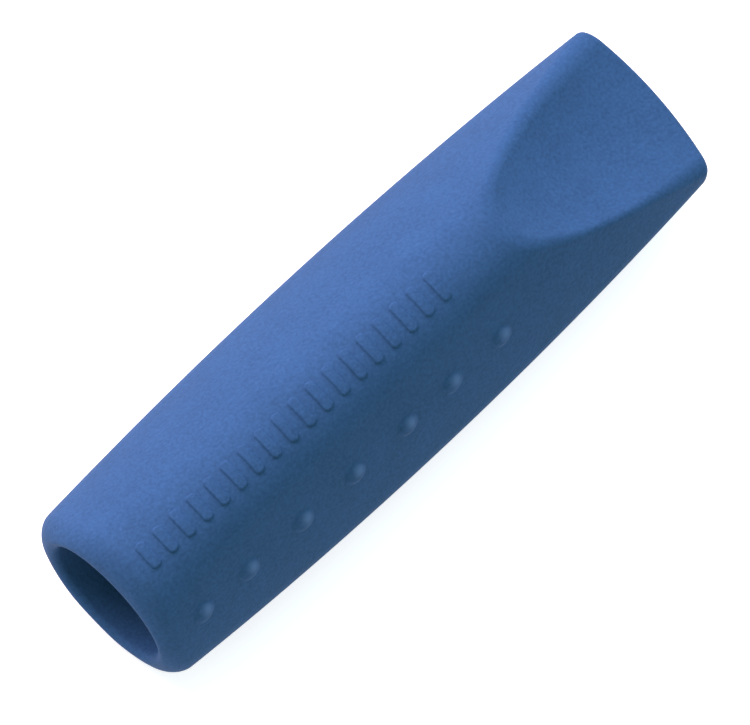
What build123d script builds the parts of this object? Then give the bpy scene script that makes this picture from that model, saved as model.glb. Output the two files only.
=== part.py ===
from build123d import *
import os
from math import cos, radians, sin, sqrt

# A slip-on pencil-cap eraser: one soft moulding that pushes over a pencil's end.
# +X runs along the socket axis, from the mouth (x = 0) to the erasing tip.
# +Z is up through the rounded ridge, so the eraser lies on its third side.
# All sizes are in millimetres and all directions in degrees from +Y towards +Z.

# --- overall body -----------------------------------------------------------
LENGTH = 42.0
WIDEST_AT = 19.1
WIDEST_HALF = 6.16
BARREL_RATE = 0.00186  # half width lost per square millimetre from the widest place

# --- rounded-triangular section ---------------------------------------------
CORNER_RADIUS = 3.15  # of the ridge and the two lower corners, halfway along
CORNER_TAPER = 0.012  # corner radius lost per millimetre towards the tip
MOUTH_EXTRA = 0.85  # how much rounder the corners are at the mouth
MOUTH_FADE = 9.0  # distance from the mouth over which that extra roundness dies away
SIDE_HALF_ANGLE = 8.0  # degrees turned by half of each gently crowned side
CORNER_DIRECTIONS = (90.0, 210.0, 330.0)
CORNER_TO_SIDE = 60.0  # a side's middle lies this far round from a corner's
STATIONS = (-1.5, 1.5, 4.5, 8.0, 12.0, 16.0, 20.0, 24.0, 28.0, 32.0, 36.0, 40.0, 43.5)

# --- domed ends -------------------------------------------------------------
MOUTH_DOME = 20.0
TIP_DOME = 17.5
TIP_SKEW = 0.67  # the tip's dome is centred this far to the +Y side of the axis
LIP_CREST = 4.45  # distance of the lip's crest from the axis
LIP_OUTER_ROUND = 0.68
ENVELOPE_RADIUS = 9.0
ENVELOPE_BEYOND = 3.0  # how far each envelope runs past the other end

# --- pencil socket ----------------------------------------------------------
BORE_RADIUS = 3.85
BORE_DEPTH = 22.0
BORE_LEAD_IN = 0.48
BORE_OVERRUN = 2.0  # how far the socket's cutter starts outside the mouth

# --- erasing scoop ----------------------------------------------------------
SCOOP_TIP_HEIGHT = -0.72  # z of the scoop's floor at the tip
SCOOP_LINE_RADIUS = 30.9  # of the hollow along the eraser
SCOOP_TIP_SLOPE = 14.0  # between the floor and the axis at the tip
SCOOP_DISH = 9.6  # crosswise hollow radius where the scoop is deepest
SCOOP_DISH_TIP = 24.0  # crosswise hollow radius at the tip
SCOOP_OPENS_AT = 36.0  # from here to the tip the crosswise hollow flattens
SCOOP_STATIONS = (27.0, 30.0, 33.0, 36.0, 39.0, 42.0, 44.0)
SCOOP_FACE_NEAR = (33.0, 38.0)  # x range that holds the middle of the scoop's face
SCOOP_FACE_OFF = 0.5  # most that the middle lies off the middle plane
CUTTER_HALF = 7.5
CUTTER_TOP = 20.0
EDGE_ROUND = 0.4  # of the scoop's rim and the tip's outline

# --- raised grip dots -------------------------------------------------------
DOT_PLACES = (3.05, 6.5, 10.5, 14.35, 18.25, 21.65, 25.4)
DOT_BASE_RADIUS = 0.66
DOT_HEIGHT = 0.36
DOT_SIDE = 150.0  # direction of the middle of the dotted side
DOT_TOWARDS_RIDGE = 0.4  # how far the row lies off that middle

# --- raised bars along the ridge --------------------------------------------
BAR_FIRST = 2.2
BAR_COUNT = 18
BAR_PITCH = 1.27
BAR_WIDTH = 0.62
BAR_SPAN = 1.9
BAR_HEIGHT = 0.13
BAR_CORNER = 0.25
BAR_COLUMN = 4.0  # the bars are cut from columns that start this high inside the barrel

NEAR = 0.01  # tolerance for picking edges and faces by position


def half_width(x):
    return WIDEST_HALF - BARREL_RATE * (x - WIDEST_AT) ** 2


def corner_radius(x):
    nearness = max(1.0 - x / MOUTH_FADE, 0.0)
    return CORNER_RADIUS - CORNER_TAPER * (x - WIDEST_AT) + MOUTH_EXTRA * nearness**2


def section_arcs(x):
    """Centre, radius, middle direction and half angle of the six arcs of one section."""
    turn = radians(CORNER_TO_SIDE)
    side = radians(SIDE_HALF_ANGLE)
    corner = corner_radius(x)
    spread = (half_width(x) - corner) / sin(turn)
    side_radius = corner + spread * sin(turn) / sin(side)
    side_offset = (side_radius - corner) * sin(turn - side) / sin(turn)
    arcs = []
    for direction in CORNER_DIRECTIONS:
        middle = radians(direction)
        arcs.append((spread * cos(middle), spread * sin(middle), corner, middle, turn - side))
        middle += turn
        arcs.append((-side_offset * cos(middle), -side_offset * sin(middle), side_radius, middle, side))
    return arcs


def section(x, grow=0.0):
    """Closed rounded triangle at one station, grown outwards by the given amount."""
    edges = []
    for centre_y, centre_z, radius, middle, half in section_arcs(x):
        reach = radius + grow
        angles = (middle - half, middle, middle + half)
        points = [(x, centre_y + reach * cos(a), centre_z + reach * sin(a)) for a in angles]
        edges.append(ThreePointArc(*points))
    return Face(Wire(edges))


def barrel(grow=0.0):
    """The triangular barrel, longer than the eraser at both ends."""
    return loft([section(x, grow) for x in STATIONS])


def dome_arc(centre, radius):
    """Half outline of a dome, from the axis out to the envelope's radius."""
    sign = 1 if radius > 0 else -1
    points = []
    for height in (0.0, ENVELOPE_RADIUS / 2, ENVELOPE_RADIUS):
        points.append((centre + sign * sqrt(radius**2 - height**2), 0, height))
    return points


def envelope(arc, far):
    """Solid turned about the axis from a dome's half outline, running straight to the far x."""
    outline = Wire(
        [
            ThreePointArc(*arc),
            Line(arc[-1], (far, 0, ENVELOPE_RADIUS)),
            Line((far, 0, ENVELOPE_RADIUS), (far, 0, 0)),
            Line((far, 0, 0), arc[0]),
        ]
    )
    return revolve(Face(outline), Axis.X)


def domed_barrel():
    """The barrel cut to length between two shallow domes."""
    mouth = dome_arc(sqrt(MOUTH_DOME**2 - LIP_CREST**2), -MOUTH_DOME)
    tip = dome_arc(LENGTH - TIP_DOME, TIP_DOME)
    body = barrel() & envelope(mouth, LENGTH + ENVELOPE_BEYOND)
    return body & Pos(0, TIP_SKEW, 0) * envelope(tip, -ENVELOPE_BEYOND)


def scoop_floor(x):
    """Height of the scoop's floor on the middle plane, a circular arc hollow upwards."""
    slope = radians(SCOOP_TIP_SLOPE)
    centre_x = LENGTH + SCOOP_LINE_RADIUS * sin(slope)
    centre_z = SCOOP_TIP_HEIGHT + SCOOP_LINE_RADIUS * cos(slope)
    return centre_z - sqrt(SCOOP_LINE_RADIUS**2 - (centre_x - x) ** 2)


def scoop_dish(x):
    """Crosswise hollow radius, which opens out towards the tip."""
    share = max((x - SCOOP_OPENS_AT) / (LENGTH - SCOOP_OPENS_AT), 0.0)
    return SCOOP_DISH + (SCOOP_DISH_TIP - SCOOP_DISH) * share**2


def scoop_cutter():
    """Solid above the scoop: crosswise arcs hollow upwards, lofted from the ridge to past the tip."""
    rings = []
    for x in SCOOP_STATIONS:
        floor = scoop_floor(x)
        radius = scoop_dish(x)
        brim = floor + radius - sqrt(radius**2 - CUTTER_HALF**2)
        edges = [
            ThreePointArc((x, -CUTTER_HALF, brim), (x, 0, floor), (x, CUTTER_HALF, brim)),
            Line((x, CUTTER_HALF, brim), (x, CUTTER_HALF, CUTTER_TOP)),
            Line((x, CUTTER_HALF, CUTTER_TOP), (x, -CUTTER_HALF, CUTTER_TOP)),
            Line((x, -CUTTER_HALF, CUTTER_TOP), (x, -CUTTER_HALF, brim)),
        ]
        rings.append(Face(Wire(edges)))
    return loft(rings)


def scoop_face(solid):
    """The hollow face of the scoop: the largest face on the middle plane, above the axis near the tip."""
    low, high = SCOOP_FACE_NEAR
    near = solid.faces().filter_by(lambda face: low < face.center().X < high)
    middle = near.filter_by(lambda face: abs(face.center().Y) < SCOOP_FACE_OFF and face.center().Z > 0)
    return middle.sort_by(SortBy.AREA)[-1]


def working_edges(solid):
    """Every edge round the tip's domed face and round the scoop, each one once."""
    edges = list(solid.faces().sort_by(Axis.X)[-1].edges())
    for edge in scoop_face(solid).edges():
        if not any(edge.is_same(other) for other in edges):
            edges.append(edge)
    return edges


def is_socket_rim(edge):
    """True for the two half circles where the socket's wall meets the domed mouth."""
    middle = edge.center()
    return middle.X < BORE_LEAD_IN and abs(abs(middle.Y) - BORE_RADIUS) < NEAR and abs(middle.Z) < NEAR


def socket_cutter():
    """Round cutter of the pencil socket."""
    length = BORE_DEPTH + BORE_OVERRUN
    return Pos(BORE_DEPTH - length / 2, 0, 0) * Rot(0, 90, 0) * Cylinder(BORE_RADIUS, length)


def eraser_body():
    """The whole moulding without its raised details."""
    body = domed_barrel()
    mouth_face = body.faces().sort_by(Axis.X)[0]
    body = fillet(mouth_face.edges(), LIP_OUTER_ROUND)
    body = body - scoop_cutter()
    body = fillet(working_edges(body), EDGE_ROUND)
    body = body - socket_cutter()
    return fillet(body.edges().filter_by(is_socket_rim), BORE_LEAD_IN)


def side_distance(x):
    """Distance from the axis to the middle of a crowned side."""
    centre_y, centre_z, radius = section_arcs(x)[1][:3]
    return radius - sqrt(centre_y**2 + centre_z**2)


def grip_dot(x, plain):
    """One low dome on the dotted side, cut to sit face to face on the plain barrel.

    The ball's poles lie along the eraser, clear of the dome's outline.
    """
    ball = (DOT_BASE_RADIUS**2 + DOT_HEIGHT**2) / (2 * DOT_HEIGHT)
    depth = side_distance(x) + DOT_HEIGHT - ball
    direction = radians(DOT_SIDE)
    y = depth * cos(direction) + DOT_TOWARDS_RIDGE * sin(direction)
    z = depth * sin(direction) - DOT_TOWARDS_RIDGE * cos(direction)
    return Pos(x, y, z) * Rot(0, 90, 0) * Sphere(ball) - plain


def ridge_bars(plain):
    """A row of plain raised bars along the ridge, each its own solid on the barrel's surface."""
    skin = barrel(BAR_HEIGHT)
    bars = []
    for number in range(BAR_COUNT):
        x = BAR_FIRST + number * BAR_PITCH
        outline = Pos(x, 0, BAR_COLUMN) * RectangleRounded(BAR_WIDTH, BAR_SPAN, BAR_CORNER)
        bars.append((extrude(outline, BAR_COLUMN) & skin) - plain)
    return Compound(children=[bar.solids()[0] for bar in bars])


def save(shape, node):
    export_step(shape, f"parts/{node}.step")


def main():
    os.makedirs("parts", exist_ok=True)
    plain = barrel()
    save(eraser_body(), "eraser_body")
    for number, x in enumerate(DOT_PLACES, start=1):
        save(grip_dot(x, plain), f"grip_dot_{number}")
    save(ridge_bars(plain), "ridge_bars")


main()
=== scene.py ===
import math

import bpy
import numpy as np
from mathutils import Matrix, Vector


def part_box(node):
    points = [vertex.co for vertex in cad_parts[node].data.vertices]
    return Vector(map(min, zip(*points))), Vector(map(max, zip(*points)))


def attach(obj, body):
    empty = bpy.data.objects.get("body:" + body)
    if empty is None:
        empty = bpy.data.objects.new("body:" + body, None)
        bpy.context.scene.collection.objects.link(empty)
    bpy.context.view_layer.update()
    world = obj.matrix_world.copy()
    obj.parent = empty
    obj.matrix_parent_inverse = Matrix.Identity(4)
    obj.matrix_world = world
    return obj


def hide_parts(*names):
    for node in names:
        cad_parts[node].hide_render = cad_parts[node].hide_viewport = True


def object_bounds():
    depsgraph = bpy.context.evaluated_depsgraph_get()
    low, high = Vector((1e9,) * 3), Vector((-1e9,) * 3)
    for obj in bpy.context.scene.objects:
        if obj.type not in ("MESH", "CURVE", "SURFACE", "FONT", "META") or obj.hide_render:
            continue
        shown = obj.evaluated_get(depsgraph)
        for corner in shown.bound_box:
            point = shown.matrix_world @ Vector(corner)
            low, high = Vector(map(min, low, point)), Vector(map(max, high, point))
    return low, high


# A blue rubber cap eraser lying on its third side, seen from above its ridge.
# Shapes are worked out in millimetres in the CAD frame and written to the meshes in metres.

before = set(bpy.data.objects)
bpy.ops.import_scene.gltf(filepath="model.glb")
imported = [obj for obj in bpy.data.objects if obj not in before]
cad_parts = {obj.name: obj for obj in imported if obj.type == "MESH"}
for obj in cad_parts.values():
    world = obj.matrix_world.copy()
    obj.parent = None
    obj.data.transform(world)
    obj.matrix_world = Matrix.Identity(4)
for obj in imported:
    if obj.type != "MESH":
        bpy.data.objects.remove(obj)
cad_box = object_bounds()

MM = 0.001
SIXTH = math.radians(60.0)

# --- barrel, as in the CAD source ----------------------------------------------
LENGTH = 42.0
WIDEST_AT = 19.1
WIDEST_HALF = 6.16
BARREL_RATE = 0.00186  # half width lost per square millimetre from the widest place
CORNER_RADIUS = 3.15  # at the widest place
CORNER_TAPER = 0.012  # corner radius lost per millimetre towards the tip
MOUTH_EXTRA = 0.85  # how much rounder the corners are at the mouth
MOUTH_FADE = 9.0  # distance over which that extra roundness dies away
SIDE_HALF_ANGLE = math.radians(8.0)  # turned by half of each gently crowned side

# --- ends --------------------------------------------------------------------
MOUTH_DOME = 15.0
LIP_CREST = 4.45  # distance of the lip's crest from the axis
MOUTH_SET_BACK = 0.13  # x of that crest
MOUTH_CENTRE = MOUTH_SET_BACK + math.sqrt(MOUTH_DOME**2 - LIP_CREST**2)
TIP_DOME = 17.5
TIP_SKEW = 0.67  # the tip's dome is centred this far to the +Y side of the axis
TIP_CENTRE = LENGTH - TIP_DOME
DOME_REACH = 9.0  # the domes are only worked out this far from their middles
LIP_ROUND = 0.90
TIP_ROUND_LEFT = 0.30  # left is the +Y side and right is the -Y side
TIP_ROUND_RIGHT = 0.34
SIDE_BLEND = 1.5  # half width of the change from one side's value to the other's

# --- socket ------------------------------------------------------------------
BORE_RADIUS = 3.85
BORE_DEPTH = 22.0
BORE_LEAD_IN = 0.62
BORE_FLOOR_ROUND = 0.5

# --- scoop -------------------------------------------------------------------
SCOOP_TIP_HEIGHT = -0.72  # z of the scoop's floor at the tip
SCOOP_LINE_RADIUS = 30.9  # of the hollow along the eraser
SCOOP_TIP_SLOPE = math.radians(14.0)
SCOOP_DISH = 9.6  # crosswise hollow radius where the scoop is deepest
SCOOP_DISH_TIP = 24.0  # crosswise hollow radius at the tip
SCOOP_OPENS_AT = 36.0  # from here to the tip the crosswise hollow flattens
SCOOP_TIP_X = LENGTH + SCOOP_LINE_RADIUS * math.sin(SCOOP_TIP_SLOPE)
SCOOP_TIP_Z = SCOOP_TIP_HEIGHT + SCOOP_LINE_RADIUS * math.cos(SCOOP_TIP_SLOPE)
RUN_LIMIT = 0.95  # keeps the hollow's arc short of a half circle
SHARE_LIMIT = 1.3  # lets the flattening run on just past the tip
DISH_HALF = 8.0  # the crosswise hollow is only worked out this far from its middle
CREASE_LEFT = 0.45
CREASE_LEFT_TIP = 1.0
CREASE_RIGHT = 0.27
CREASE_RIGHT_TIP = 0.75
SOFTENS_FROM = 31.0  # the creases grow rounder from here
SOFTENS_TO = 40.0
APEX_ROUND = 0.50  # of the crease where the scoop meets the ridge
APEX_AT = 28.6
APEX_REACH = 3.0


# --- the surface as signed gaps, negative inside ------------------------------
def half_width(x):
    return WIDEST_HALF - BARREL_RATE * (x - WIDEST_AT) ** 2


def corner_radius(x):
    nearness = np.maximum(1.0 - x / MOUTH_FADE, 0.0)
    return CORNER_RADIUS - CORNER_TAPER * (x - WIDEST_AT) + MOUTH_EXTRA * nearness**2


def barrel_gap(x, y, z):
    """Distance from the rounded-triangular barrel."""
    corner = corner_radius(x)
    spread = (half_width(x) - corner) / math.sin(SIXTH)
    side_radius = corner + spread * math.sin(SIXTH) / math.sin(SIDE_HALF_ANGLE)
    side_offset = (side_radius - corner) * math.sin(SIXTH - SIDE_HALF_ANGLE) / math.sin(SIXTH)
    turned = np.arctan2(z, y) - math.pi / 2
    fold = np.abs((turned + SIXTH) % (2 * SIXTH) - SIXTH)
    reach = np.hypot(y, z)
    along, across = reach * np.cos(fold), reach * np.sin(fold)
    to_corner = np.hypot(along - spread, across) - corner
    side_y, side_z = side_offset * math.cos(SIXTH), side_offset * math.sin(SIXTH)
    to_side = np.hypot(along + side_y, across + side_z) - side_radius
    round_corner = np.arctan2(across, along - spread) < SIXTH - SIDE_HALF_ANGLE
    return np.where(round_corner, to_corner, to_side)


def mouth_dome(y, z):
    """x of the mouth's dome at this place across it."""
    reach = np.minimum(np.hypot(y, z), DOME_REACH)
    return MOUTH_CENTRE - np.sqrt(MOUTH_DOME**2 - reach**2)


def tip_dome(y, z):
    """x of the tip's dome at this place across it."""
    reach = np.minimum(np.hypot(y - TIP_SKEW, z), DOME_REACH)
    return TIP_CENTRE + np.sqrt(TIP_DOME**2 - reach**2)


def scoop_gap(x, y, z):
    """Height above the scoop, measured square to it along the eraser."""
    run = np.clip((SCOOP_TIP_X - x) / SCOOP_LINE_RADIUS, -RUN_LIMIT, RUN_LIMIT)
    floor = SCOOP_TIP_Z - SCOOP_LINE_RADIUS * np.sqrt(1 - run**2)
    share = np.clip((x - SCOOP_OPENS_AT) / (LENGTH - SCOOP_OPENS_AT), 0.0, SHARE_LIMIT)
    dish = SCOOP_DISH + (SCOOP_DISH_TIP - SCOOP_DISH) * share**2
    brim = dish - np.sqrt(dish**2 - np.minimum(np.abs(y), DISH_HALF) ** 2)
    return (z - floor - brim) * np.sqrt(1 - run**2)


def rounded(a, b, radius):
    """Where both gaps must be negative, with the edge between them rounded."""
    outside = np.hypot(np.maximum(a + radius, 0.0), np.maximum(b + radius, 0.0))
    return np.minimum(np.maximum(a, b), -radius) + outside


def between(left, right, y):
    """A value that goes from right (at -y) to left (at +y) across the eraser."""
    return right + (left - right) * (0.5 + 0.5 * np.tanh(y / SIDE_BLEND))


def crease_round(x, y):
    """Radius of the scoop's crease, rounder towards the tip and at the ridge."""
    apex = np.exp(-(((x - APEX_AT) / APEX_REACH) ** 2))
    share = np.clip((x - SOFTENS_FROM) / (SOFTENS_TO - SOFTENS_FROM), 0.0, 1.0)
    left = CREASE_LEFT + (CREASE_LEFT_TIP - CREASE_LEFT) * share
    right = CREASE_RIGHT + (CREASE_RIGHT_TIP - CREASE_RIGHT) * share**2
    crease = between(left, right, y)
    return crease + (APEX_ROUND - crease) * apex


def smooth(share):
    """Eases a value that goes from 0 to 1."""
    return share * share * (3 - 2 * share)


def side_gap(p):
    """The long surfaces only: barrel and scoop."""
    x, y, z = p[..., 0], p[..., 1], p[..., 2]
    return rounded(barrel_gap(x, y, z), scoop_gap(x, y, z), crease_round(x, y))


def hole_gap(x, reach):
    """Distance from the socket's space, with a round at its floor."""
    return rounded(reach - BORE_RADIUS, x - BORE_DEPTH, BORE_FLOOR_ROUND)


def body_gap(p):
    """The whole moulding with its domed ends and socket."""
    x, y, z = p[..., 0], p[..., 1], p[..., 2]
    reach = np.hypot(y, z)
    skin = rounded(barrel_gap(x, y, z), mouth_dome(y, z) - x, LIP_ROUND)
    skin = rounded(skin, scoop_gap(x, y, z), crease_round(x, y))
    skin = rounded(skin, x - tip_dome(y, z), between(TIP_ROUND_LEFT, TIP_ROUND_RIGHT, y))
    return rounded(skin, -hole_gap(x, reach), BORE_LEAD_IN)


GRADIENT_STEP = 1e-3
SETTLE_ROUNDS = 6
MOVE_LIMIT = 0.5  # most that one round may move a point
LEAST_SLOPE = 1e-6
LEAST_MOVE = 1e-9


def gradient(gap, p):
    """Outward direction of steepest growth, by central differences."""
    out = np.empty_like(p)
    for axis in range(3):
        shift = np.zeros(3)
        shift[axis] = GRADIENT_STEP
        out[..., axis] = (gap(p + shift) - gap(p - shift)) / (2 * GRADIENT_STEP)
    return out


def outward_normals(gap, p):
    """The same directions, each one unit long."""
    normals = gradient(gap, p)
    return normals / np.linalg.norm(normals, axis=1, keepdims=True)


def settle(gap, p):
    """Moves points onto the surface where the gap is zero."""
    for _ in range(SETTLE_ROUNDS):
        slope = gradient(gap, p)
        size = np.maximum((slope**2).sum(-1), LEAST_SLOPE)
        move = -gap(p)[..., None] * slope / size[..., None]
        length = np.linalg.norm(move, axis=-1, keepdims=True)
        p = p + move * np.minimum(1.0, MOVE_LIMIT / np.maximum(length, LEAST_MOVE))
    return p


# --- the body's mesh: rings from the socket's floor, over the lip and on to the tip ---
FINE = 1440  # angles at which each ring's outline is first worked out
COLUMNS = 256  # points in each ring of the mesh
CENTRE_DROP = 2.5
CENTRE_DROP_FROM = 20.0
SEARCH_NEAR = 0.5  # the outline lies between these distances from the centre line
SEARCH_FAR = 9.0
SEARCH_ROUNDS = 28
END_START = 0.5  # first guess of how far each outline lies in from its end
END_ROUNDS = 8
MOUTH_RINGS = (0.0, 0.07, 0.15, 0.24, 0.34, 0.45, 0.58, 0.73, 0.9, 1.08)
TIP_RINGS_LEFT = (0.5, 0.4, 0.31, 0.23, 0.16, 0.1, 0.05, 0.0)
SCOOP_RINGS_FROM = 26.0
SCOOP_RINGS_TO = LENGTH - 0.62
BARREL_STEP = 0.21
SCOOP_STEP = 0.125
BEND_HALF = 10  # fine steps each side that smooth the bend round a ring
BEND_SPREAD = 2.5
BEND_PULL = 1.3  # how strongly a bend draws the columns together
BEND_LIMIT = 3.0
RING_HALF = 8  # rings each side that smooth the columns along the eraser
RING_SPREAD = 2.0
FLOOR_RADII = (0.7, 1.6, 2.5, 3.2, 3.5, 3.7)
FLOOR_BACKS = (0.0, 0.15, 0.3, 0.5, 0.8)
WALL_DEPTHS = (19.5, 17.0, 14.5, 12.0, 10.0, 8.2, 6.6, 5.2, 4.0, 3.0, 2.3, 1.7, 1.3, 1.0)
LEAD_IN_DEPTHS = (0.8, 0.63, 0.49, 0.37, 0.27, 0.18, 0.1, 0.04)
LIP_SHARES = (0.0, 0.04, 0.09, 0.15, 0.22, 0.3, 0.4, 0.5, 0.6, 0.7, 0.78, 0.85, 0.91, 0.96)
CAP_INSETS = (0.05, 0.1, 0.16, 0.23, 0.31, 0.4, 0.5, 0.62, 0.78)
CAP_SHARES = (0.42, 0.55, 0.68, 0.8, 0.9, 0.96)


def centre_height(x):
    """The rings' centre line sinks under the scoop."""
    share = np.clip((x - CENTRE_DROP_FROM) / (LENGTH - CENTRE_DROP_FROM), 0.0, 1.0)
    return -CENTRE_DROP * smooth(share)


def side_points(x, angle):
    """Points on the long surfaces at each x and angle round the centre line."""
    low = np.full(x.shape, SEARCH_NEAR)
    high = np.full(x.shape, SEARCH_FAR)
    centre = centre_height(x)
    for _ in range(SEARCH_ROUNDS):
        middle = (low + high) / 2
        p = np.stack([x, middle * np.cos(angle), centre + middle * np.sin(angle)], -1)
        inside = side_gap(p) < 0
        low = np.where(inside, middle, low)
        high = np.where(inside, high, middle)
    reach = (low + high) / 2
    return np.stack([x, reach * np.cos(angle), centre + reach * np.sin(angle)], -1)


def end_outline(dome, start, angle):
    """x at which the long surfaces meet a domed end, for each angle."""
    x = np.full(angle.shape, start)
    for _ in range(END_ROUNDS):
        p = side_points(x, angle)
        x = dome(p[:, 1], p[:, 2])
    return x


def ring_places():
    """Distances of the rings along the eraser, closer together at the edges and the scoop."""
    places = list(MOUTH_RINGS)
    while places[-1] < SCOOP_RINGS_FROM:
        places.append(places[-1] + BARREL_STEP)
    while places[-1] < SCOOP_RINGS_TO:
        places.append(places[-1] + SCOOP_STEP)
    for left in TIP_RINGS_LEFT:
        places.append(LENGTH - left)
    return np.array(places) / LENGTH


def bell(spread, half):
    """Weights that add up to one, largest in the middle."""
    kernel = np.exp(-np.linspace(-spread, spread, 2 * half + 1) ** 2)
    return kernel / kernel.sum()


def column_angles(fine):
    """Angles of the columns for each ring, closer together where the outline bends."""
    step = np.diff(fine, axis=1)
    length = np.linalg.norm(step, axis=-1)
    heading = step / length[..., None]
    bend = np.linalg.norm(heading - np.roll(heading, 1, axis=1), axis=-1) / length
    kernel = bell(BEND_SPREAD, BEND_HALF)
    wrapped = np.concatenate([bend[:, -BEND_HALF:], bend, bend[:, :BEND_HALF]], axis=1)
    bend = np.array([np.convolve(row, kernel, "valid") for row in wrapped])
    weight = length * (1 + BEND_PULL * np.minimum(bend, BEND_LIMIT))
    total = np.concatenate([np.zeros((len(fine), 1)), np.cumsum(weight, axis=1)], axis=1)
    total /= total[:, -1:]
    before = np.repeat(total[:1], RING_HALF, 0)
    after = np.repeat(total[-1:], RING_HALF, 0)
    padded = np.concatenate([before, total, after])
    kernel = bell(RING_SPREAD, RING_HALF)
    total = sum(kernel[k] * padded[k : k + len(total)] for k in range(len(kernel)))
    share = np.arange(COLUMNS) / COLUMNS
    table = np.linspace(0.0, 2 * math.pi, FINE + 1)
    return np.array([np.interp(share, row, table) for row in total])


def body_rings():
    """All rings of the moulding, from the socket's floor out over the lip and along to the tip."""
    table = np.linspace(0.0, 2 * math.pi, FINE + 1) - math.pi / 2
    mouth_x = end_outline(mouth_dome, END_START, table)
    tip_x = end_outline(tip_dome, LENGTH - END_START, table)
    places = ring_places()[:, None]
    x = mouth_x + places * (tip_x - mouth_x)
    fine = side_points(x, np.broadcast_to(table, x.shape))
    angle = column_angles(fine)
    key = np.linspace(0.0, 2 * math.pi, FINE + 1)
    outer = []
    for row, turn in zip(fine, angle):
        outer.append(np.stack([np.interp(turn, key, row[:, k]) for k in range(3)], -1))
    return mouth_rings(outer[0]) + outer + tip_rings(outer[-1])


def mouth_rings(edge):
    """Rings from the middle of the socket's floor, up its wall and over the lip, to the outer edge."""
    turn = np.arctan2(edge[:, 2], edge[:, 1])
    reach = np.hypot(edge[:, 1], edge[:, 2])
    rings = []
    for radius in FLOOR_RADII:
        rings.append(circle(BORE_DEPTH, radius, turn))
    for back in FLOOR_BACKS:
        rings.append(circle(BORE_DEPTH - back, BORE_RADIUS, turn))
    start = float(mouth_dome(BORE_RADIUS, 0.0))
    for depth in WALL_DEPTHS + LEAD_IN_DEPTHS:
        rings.append(circle(start + depth, BORE_RADIUS, turn))
    for share in LIP_SHARES:
        radius = BORE_RADIUS + share * (reach - BORE_RADIUS)
        rings.append(circle(mouth_dome(radius, 0.0), radius, turn))
    return rings


def circle(x, radius, turn):
    """Points round the axis at one x and radius, or at one of each for every angle."""
    radius = np.broadcast_to(radius, turn.shape)
    x = np.broadcast_to(x, turn.shape)
    return np.stack([x, radius * np.cos(turn), radius * np.sin(turn)], -1)


def tip_rings(edge):
    """Rings over the tip's domed end, from its outline in to the middle."""
    reach = np.linalg.norm(edge[:, 1:] - tip_middle(), axis=1)
    rings = []
    for inset in CAP_INSETS:
        rings.append(cap_ring(edge, 1 - inset / reach))
    for share in CAP_SHARES:
        rings.append(cap_ring(edge, np.full(reach.shape, 1 - share)))
    return rings


def tip_middle():
    """y and z of the middle of the tip's rings."""
    return np.array([0.0, centre_height(LENGTH)])


def cap_ring(edge, keep):
    """The tip's outline drawn in to the given share of its reach, on the tip's dome."""
    place = tip_middle() + (edge[:, 1:] - tip_middle()) * keep[:, None]
    return np.stack([tip_dome(place[:, 0], place[:, 1]), place[:, 0], place[:, 1]], -1)


def mesh_object(name, points, faces, normals=None):
    """Mesh object from points in millimetres."""
    mesh = bpy.data.meshes.new(name)
    mesh.from_pydata((points * MM).tolist(), [], faces)
    mesh.polygons.foreach_set("use_smooth", [True] * len(mesh.polygons))
    mesh.update()
    if normals is not None:
        mesh.normals_split_custom_set_from_vertices(normals.tolist())
    made = bpy.data.objects.new(name, mesh)
    bpy.context.scene.collection.objects.link(made)
    return made


def ring_faces(count, width, first, last):
    """Quads between rings, with a fan at each end to the points numbered first and last."""
    faces = []
    for column in range(width):
        after = (column + 1) % width
        faces.append((first, after, column))
        base = (count - 1) * width
        faces.append((last, base + column, base + after))
    for ring in range(count - 1):
        low, high = ring * width, (ring + 1) * width
        for column in range(width):
            after = (column + 1) % width
            faces.append((low + column, low + after, high + after, high + column))
    return faces


def make_body():
    """The whole moulding as one closed skin."""
    rings = body_rings()
    points = np.array(rings).reshape(-1, 3)
    middle = centre_height(LENGTH)
    ends = np.array([[BORE_DEPTH, 0.0, 0.0], [float(tip_dome(0.0, middle)), 0.0, middle]])
    points = settle(body_gap, np.concatenate([points, ends]))
    count = len(points)
    faces = ring_faces(len(rings), COLUMNS, count - 2, count - 1)
    return mesh_object("rubber_body", points, faces, outward_normals(body_gap, points))


# --- raised details ------------------------------------------------------------
DOT_SIDE = math.radians(150.0)
DOT_COUNT = 7
DOT_HEIGHT = 0.28
DOT_BASE = 0.66
DOT_TOWARDS_RIDGE = 0.4  # how far the row lies off the middle of its side
DOT_FLARE = 0.045  # how softly each dot runs out into the barrel
DOT_EDGE = 0.86  # radius at which the flare ends
DOT_FADE = 0.12  # width over which the flare's edge goes under the barrel
DOT_EDGE_DEPTH = 0.015
DOT_TURNS = 48
DOT_STEPS = 16
DOT_SEAT_START = 5.0  # distance from the axis at which the search for each seat starts
# Painted highlight: each dot is coloured paler on its flank towards the tip and the ridge, where the
# lamps light it.
HIGHLIGHT_ALONG = 0.20  # each dot's painted highlight, a paler spot, lies this far towards the tip
HIGHLIGHT_TOWARDS_RIDGE = 0.24
HIGHLIGHT_RADIUS = 0.36
HIGHLIGHT_FROM = 0.1  # height above the barrel from which the painted highlight shows fully
SUNK = 0.06  # depth of each raised piece's underside below the barrel
FORWARD = np.array([1.0, 0.0, 0.0])


def barrel_only(p):
    return barrel_gap(p[..., 0], p[..., 1], p[..., 2])


def raised(flat, height, faces):
    """Low piece: points laid on the barrel and raised by their heights, over an underside just below it.

    Its top and its underside are left for rim_faces to join.
    """
    seat = settle(barrel_only, flat)
    outward = outward_normals(barrel_only, seat)
    top = seat + outward * height[:, None]
    bottom = seat - outward * SUNK
    count = len(seat)
    under = [tuple(count + i for i in reversed(face)) for face in faces]
    return np.concatenate([top, bottom]), list(faces) + under


def rim_faces(rim, count):
    """Quads joining the top's rim to the underside's."""
    quads = []
    for here, after in zip(rim, rim[1:] + rim[:1]):
        quads.append((after, here, count + here, count + after))
    return quads


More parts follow.
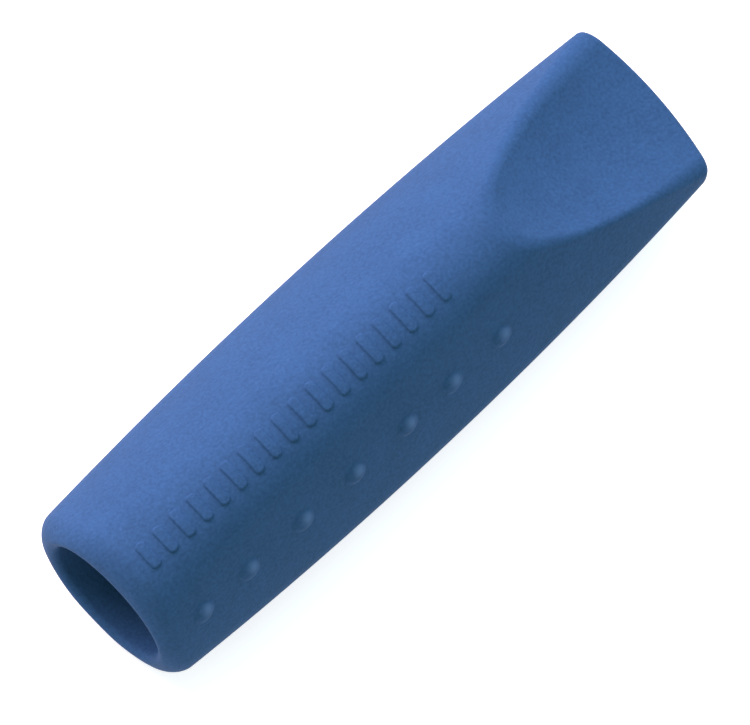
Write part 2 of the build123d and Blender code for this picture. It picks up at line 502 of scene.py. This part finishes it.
def dot_height(reach):
    """Height of a dot at this distance from its middle: a ball's cap with a flared foot."""
    ball = (DOT_BASE**2 + DOT_HEIGHT**2) / (2 * DOT_HEIGHT)
    cap = math.sqrt(max(ball**2 - reach**2, 0.0)) - (ball - DOT_HEIGHT)
    flared = (cap + math.sqrt(cap**2 + 4 * DOT_FLARE**2)) / 2
    fade = min(1.0, (DOT_EDGE - reach) / DOT_FADE)
    return flared * fade - DOT_EDGE_DEPTH * (1 - fade)


def dot_faces():
    """A fan at a dot's middle and quads out to its edge."""
    faces = []
    for turn in range(DOT_TURNS):
        faces.append((0, 1 + (turn + 1) % DOT_TURNS, 1 + turn))
    for ring in range(DOT_STEPS - 1):
        inner = 1 + ring * DOT_TURNS
        outer = inner + DOT_TURNS
        for turn in range(DOT_TURNS):
            after = (turn + 1) % DOT_TURNS
            faces.append((inner + turn, inner + after, outer + after, outer + turn))
    return faces


def paint_dot_highlight(made, flat, height, spot):
    """Stores how strongly each point of a dot is painted with the pale highlight, most at the spot."""
    away = np.linalg.norm(flat - spot, axis=1)
    painted_highlight = np.exp(-((away / HIGHLIGHT_RADIUS) ** 2)) * np.clip(height / HIGHLIGHT_FROM, 0.0, 1.0)
    values = made.data.attributes.new("painted_highlight", "FLOAT", "POINT").data
    values.foreach_set("value", np.tile(painted_highlight, 2).tolist())


def make_dot(number):
    """One grip dot, with a painted pale highlight on its lit flank, at the place of its CAD node."""
    node = f"grip_dot_{number}"
    low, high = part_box(node)
    x = (low.x + high.x) / 2 / MM
    side = np.array([0.0, math.cos(DOT_SIDE), math.sin(DOT_SIDE)])
    across = np.array([0.0, -math.sin(DOT_SIDE), math.cos(DOT_SIDE)])
    start = np.array([[x, 0.0, 0.0]]) + DOT_SEAT_START * side - DOT_TOWARDS_RIDGE * across
    seat = settle(barrel_only, start)[0]
    flat = [seat]
    height = [DOT_HEIGHT]
    for ring in range(1, DOT_STEPS + 1):
        reach = DOT_EDGE * ring / DOT_STEPS
        for turn in range(DOT_TURNS):
            angle = 2 * math.pi * turn / DOT_TURNS
            flat.append(seat + reach * (math.cos(angle) * FORWARD + math.sin(angle) * across))
            height.append(dot_height(reach))
    flat = np.array(flat)
    height = np.array(height)
    points, faces = raised(flat, height, dot_faces())
    rim_start = 1 + (DOT_STEPS - 1) * DOT_TURNS
    faces += rim_faces(list(range(rim_start, rim_start + DOT_TURNS)), len(flat))
    made = mesh_object(f"rubber_dot_{number}", points, faces)
    paint_dot_highlight(made, flat, height, seat + HIGHLIGHT_ALONG * FORWARD - HIGHLIGHT_TOWARDS_RIDGE * across)
    return made


BAR_COUNT = 18
BAR_WIDTH = 0.62
BAR_SPAN = 1.9
BAR_HEIGHT = 0.13
BAR_CORNER = 0.25
BAR_FLANK = 0.14  # width of the slope round each bar
BAR_MARGIN = 0.08  # how far the mesh runs past each bar's outline
BAR_EDGE_DEPTH = 0.02  # depth of that margin below the barrel
BAR_ALONG = 18  # grid points along the eraser and across the ridge
BAR_ACROSS = 42
BAR_SEAT_START = 6.5  # z at which the search for each seat starts


def bar_height(u, v):
    """Height of a bar at u along the eraser and v across the ridge from the bar's middle."""
    du = np.abs(u) - BAR_WIDTH / 2 + BAR_CORNER
    dv = np.abs(v) - BAR_SPAN / 2 + BAR_CORNER
    outside = np.hypot(np.maximum(du, 0), np.maximum(dv, 0))
    gap = outside + np.minimum(np.maximum(du, dv), 0) - BAR_CORNER
    share = np.clip(0.5 - gap / BAR_FLANK, 0.0, 1.0)
    return -BAR_EDGE_DEPTH + (BAR_HEIGHT + BAR_EDGE_DEPTH) * smooth(share)


def bar_faces():
    """Quads of one bar's grid."""
    quads = []
    for i in range(BAR_ALONG - 1):
        for j in range(BAR_ACROSS - 1):
            corner = i * BAR_ACROSS + j
            beyond = corner + BAR_ACROSS
            quads.append((corner, beyond, beyond + 1, corner + 1))
    return quads


def bar_rim():
    """The grid's outer points, in order round the bar."""
    last = (BAR_ALONG - 1) * BAR_ACROSS
    rim = list(range(BAR_ACROSS - 1))
    rim += range(BAR_ACROSS - 1, last, BAR_ACROSS)
    rim += range(last + BAR_ACROSS - 1, last, -1)
    rim += range(last, 0, -BAR_ACROSS)
    return rim[::-1]


def make_bars():
    """The row of plain bars along the ridge, spread over the length of their CAD node."""
    low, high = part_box("ridge_bars")
    first = low.x / MM + BAR_WIDTH / 2
    pitch = (high.x / MM - BAR_WIDTH / 2 - first) / (BAR_COUNT - 1)
    half_along = BAR_WIDTH / 2 + BAR_MARGIN
    half_across = BAR_SPAN / 2 + BAR_MARGIN
    along = np.linspace(-half_along, half_along, BAR_ALONG)
    across = np.linspace(-half_across, half_across, BAR_ACROSS)
    u, v = (grid.ravel() for grid in np.meshgrid(along, across, indexing="ij"))
    points = []
    faces = []
    for number in range(BAR_COUNT):
        x = first + number * pitch
        flat = np.stack([x + u, v, np.full(u.shape, BAR_SEAT_START)], -1)
        part, part_faces = raised(flat, bar_height(u, v), bar_faces())
        part_faces += rim_faces(bar_rim(), len(flat))
        start = number * len(part)
        points.append(part)
        faces += [tuple(start + i for i in face) for face in part_faces]
    return mesh_object("rubber_ridge_bars", np.concatenate(points), faces)


# --- material --------------------------------------------------------------------
RUBBER_COLOUR = (0.0302, 0.0795, 0.1980, 1.0)
RUBBER_DARK = (0.0196, 0.0519, 0.1292, 1.0)
PAINTED_HIGHLIGHT_COLOUR = (0.0640, 0.1180, 0.2550, 1.0)  # painted highlight on the raised dots' lit flanks
MOTTLE_SCALE = 420.0
MOTTLE_DETAIL = 4.0
GRAIN_SCALE = 5200.0
GRAIN_DETAIL = 1.0
GRAIN_SHARE = 2.2  # weight of the grain in the colour, where the mottling's is one
TONE_MIDDLE = 0.5 + 0.5 * GRAIN_SHARE
TONE_HALF = 0.9  # from the tone's middle to its darkest or palest
SPECULAR = 0.015
SHEEN = 0.004
SHEEN_ROUGHNESS = 0.5
LEAST_ROUGHNESS = 0.50
MOST_ROUGHNESS = 0.62
BUMP_STRENGTH = 0.5
BUMP_DEPTH = 0.00004  # of the grain, in metres


def add_noise(nodes, links, where, scale, detail):
    made = nodes.new("ShaderNodeTexNoise")
    made.inputs["Scale"].default_value = scale
    made.inputs["Detail"].default_value = detail
    links.new(where.outputs["Object"], made.inputs["Vector"])
    return made


def rubber():
    """Matte blue rubber: fine moulded grain, faint mottling, a soft broad sheen and a painted highlight
    on the dots.
    """
    made = bpy.data.materials.new("blue_rubber")
    made.use_nodes = True
    nodes = made.node_tree.nodes
    links = made.node_tree.links
    shader = nodes["Principled BSDF"]
    shader.inputs["Specular IOR Level"].default_value = SPECULAR
    shader.inputs["Sheen Weight"].default_value = SHEEN
    shader.inputs["Sheen Roughness"].default_value = SHEEN_ROUGHNESS
    where = nodes.new("ShaderNodeTexCoord")
    mottle = add_noise(nodes, links, where, MOTTLE_SCALE, MOTTLE_DETAIL)
    grain = add_noise(nodes, links, where, GRAIN_SCALE, GRAIN_DETAIL)
    blend = nodes.new("ShaderNodeMath")
    blend.operation = "MULTIPLY_ADD"
    blend.inputs[1].default_value = GRAIN_SHARE
    links.new(grain.outputs["Fac"], blend.inputs[0])
    links.new(mottle.outputs["Fac"], blend.inputs[2])
    colour = nodes.new("ShaderNodeMix")
    colour.data_type = "RGBA"
    colour.clamp_factor = True
    colour.inputs[6].default_value = RUBBER_DARK
    colour.inputs[7].default_value = RUBBER_COLOUR
    level = nodes.new("ShaderNodeMapRange")
    level.inputs["From Min"].default_value = TONE_MIDDLE - TONE_HALF
    level.inputs["From Max"].default_value = TONE_MIDDLE + TONE_HALF
    links.new(blend.outputs["Value"], level.inputs["Value"])
    links.new(level.outputs["Result"], colour.inputs[0])
    # Painted highlight: the dots' paler spot is mixed into the colour here.
    painted_highlight = nodes.new("ShaderNodeAttribute")
    painted_highlight.attribute_name = "painted_highlight"
    highlight_mix = nodes.new("ShaderNodeMix")
    highlight_mix.data_type = "RGBA"
    highlight_mix.inputs[7].default_value = PAINTED_HIGHLIGHT_COLOUR
    links.new(painted_highlight.outputs["Fac"], highlight_mix.inputs[0])
    links.new(colour.outputs[2], highlight_mix.inputs[6])
    links.new(highlight_mix.outputs[2], shader.inputs["Base Color"])
    rough = nodes.new("ShaderNodeMapRange")
    rough.inputs["To Min"].default_value = LEAST_ROUGHNESS
    rough.inputs["To Max"].default_value = MOST_ROUGHNESS
    links.new(mottle.outputs["Fac"], rough.inputs["Value"])
    links.new(rough.outputs["Result"], shader.inputs["Roughness"])
    bump = nodes.new("ShaderNodeBump")
    bump.inputs["Strength"].default_value = BUMP_STRENGTH
    bump.inputs["Distance"].default_value = BUMP_DEPTH
    links.new(grain.outputs["Fac"], bump.inputs["Height"])
    links.new(bump.outputs["Normal"], shader.inputs["Normal"])
    return made


# --- camera, lights and floor --------------------------------------------------------
TILT = math.radians(14.5)  # of the view towards the mouth
ROLL_OVER = math.radians(3.0)  # of the view towards the dotted side
PICTURE_TURN = math.radians(42.91)  # from the picture's horizontal to the eraser's axis
LENS = 1200.0  # long enough to be nearly parallel
SENSOR = 36.0
FIELD = 40.12  # width of the picture at the eraser
AIM_ALONG = 19.46
AIM_ACROSS = -0.405
AIM_DEPTH = -3.0
CLIP_NEAR = 0.01
CLIP_FAR = 10.0

ALONG = Vector(
    (
        math.cos(TILT),
        -math.sin(ROLL_OVER) * math.sin(TILT),
        math.cos(ROLL_OVER) * math.sin(TILT),
    )
)
ACROSS = Vector((0.0, math.cos(ROLL_OVER), math.sin(ROLL_OVER)))
TOWARDS = ALONG.cross(ACROSS)


def look_basis():
    """The picture's right and up directions."""
    right = math.cos(PICTURE_TURN) * ALONG - math.sin(PICTURE_TURN) * ACROSS
    up = math.sin(PICTURE_TURN) * ALONG + math.cos(PICTURE_TURN) * ACROSS
    return right, up


def make_camera():
    """Camera far off on a long lens, turned so that the eraser lies across the picture."""
    data = bpy.data.cameras.new("camera")
    data.lens = LENS
    data.sensor_width = SENSOR
    data.clip_start = CLIP_NEAR
    data.clip_end = CLIP_FAR
    camera = bpy.data.objects.new("camera", data)
    bpy.context.scene.collection.objects.link(camera)
    right, up = look_basis()
    distance = FIELD * LENS / SENSOR
    aim = ALONG * AIM_ALONG + ACROSS * AIM_ACROSS + TOWARDS * (AIM_DEPTH + distance)
    turn = Matrix((right, up, TOWARDS)).transposed().to_4x4()
    camera.matrix_world = Matrix.Translation(aim * MM) @ turn
    bpy.context.scene.camera = camera


LIT_PLACE = 20.0  # x that the lights face
LIGHT_DISTANCE = 0.35  # of both lights, in metres as their sizes are
KEY_WAY = (0.04, 0.79, 0.61)
KEY_SIZE = 0.34
KEY_POWER = 2.85
KEY_COLOUR = (1.0, 0.74, 0.84)
TIP_WAY = (0.84, 0.15, 0.52)
TIP_SIZE = 0.20
TIP_POWER = 0.47
TIP_COLOUR = (0.47, 0.77, 1.0)
SKY_COLOUR = (0.62, 0.81, 0.65, 1.0)
SKY_STRENGTH = 1.0
FLOOR_GLOW = 0.61
FLOOR_HALF = 0.6
FLOOR_GAP = 0.0001  # between the CAD model's lowest point and the floor
FLOOR_COLOUR = (0.8, 0.8, 0.8, 1.0)
FLOOR_ROUGHNESS = 0.9
FLOOR_GLOW_COLOUR = (1.0, 0.90, 1.0, 1.0)


def area_light(name, direction, size, power, colour):
    """Round soft light that faces the eraser's middle."""
    data = bpy.data.lights.new(name, "AREA")
    data.shape = "DISK"
    data.size = size
    data.energy = power
    data.color = colour
    light = bpy.data.objects.new(name, data)
    bpy.context.scene.collection.objects.link(light)
    way = Vector(direction).normalized()
    light.location = Vector((LIT_PLACE, 0.0, 0.0)) * MM + way * LIGHT_DISTANCE
    light.rotation_mode = "QUATERNION"
    light.rotation_quaternion = way.to_track_quat("Z", "Y")


def make_sky():
    """Soft even surroundings."""
    world = bpy.data.worlds.new("studio")
    bpy.context.scene.world = world
    world.use_nodes = True
    background = world.node_tree.nodes["Background"]
    background.inputs["Color"].default_value = SKY_COLOUR
    background.inputs["Strength"].default_value = SKY_STRENGTH


def make_lights():
    area_light("key", KEY_WAY, KEY_SIZE, KEY_POWER, KEY_COLOUR)
    area_light("tip", TIP_WAY, TIP_SIZE, TIP_POWER, TIP_COLOUR)
    make_sky()


def make_floor():
    """Pale floor under the eraser, lit from within so that it stays white."""
    height = cad_box[0].z - FLOOR_GAP
    mesh = bpy.data.meshes.new("floor")
    corners = ((-1, -1), (1, -1), (1, 1), (-1, 1))
    points = [(x * FLOOR_HALF, y * FLOOR_HALF, height) for x, y in corners]
    mesh.from_pydata(points, [], [(0, 1, 2, 3)])
    floor = bpy.data.objects.new("floor", mesh)
    bpy.context.scene.collection.objects.link(floor)
    made = bpy.data.materials.new("floor")
    made.use_nodes = True
    shader = made.node_tree.nodes["Principled BSDF"]
    shader.inputs["Base Color"].default_value = FLOOR_COLOUR
    shader.inputs["Roughness"].default_value = FLOOR_ROUGHNESS
    shader.inputs["Emission Color"].default_value = FLOOR_GLOW_COLOUR
    shader.inputs["Emission Strength"].default_value = FLOOR_GLOW
    mesh.materials.append(made)


def dress(piece, material, *nodes):
    """Gives a piece its material, hides the CAD nodes it stands for and hangs it under the root body."""
    piece.data.materials.append(material)
    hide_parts(*nodes)
    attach(piece, "root")


def main():
    bpy.context.scene.view_settings.view_transform = "Standard"
    material = rubber()
    dress(make_body(), material, "eraser_body")
    for number in range(1, DOT_COUNT + 1):
        dress(make_dot(number), material, f"grip_dot_{number}")
    dress(make_bars(), material, "ridge_bars")
    make_camera()
    make_lights()
    make_floor()


main()
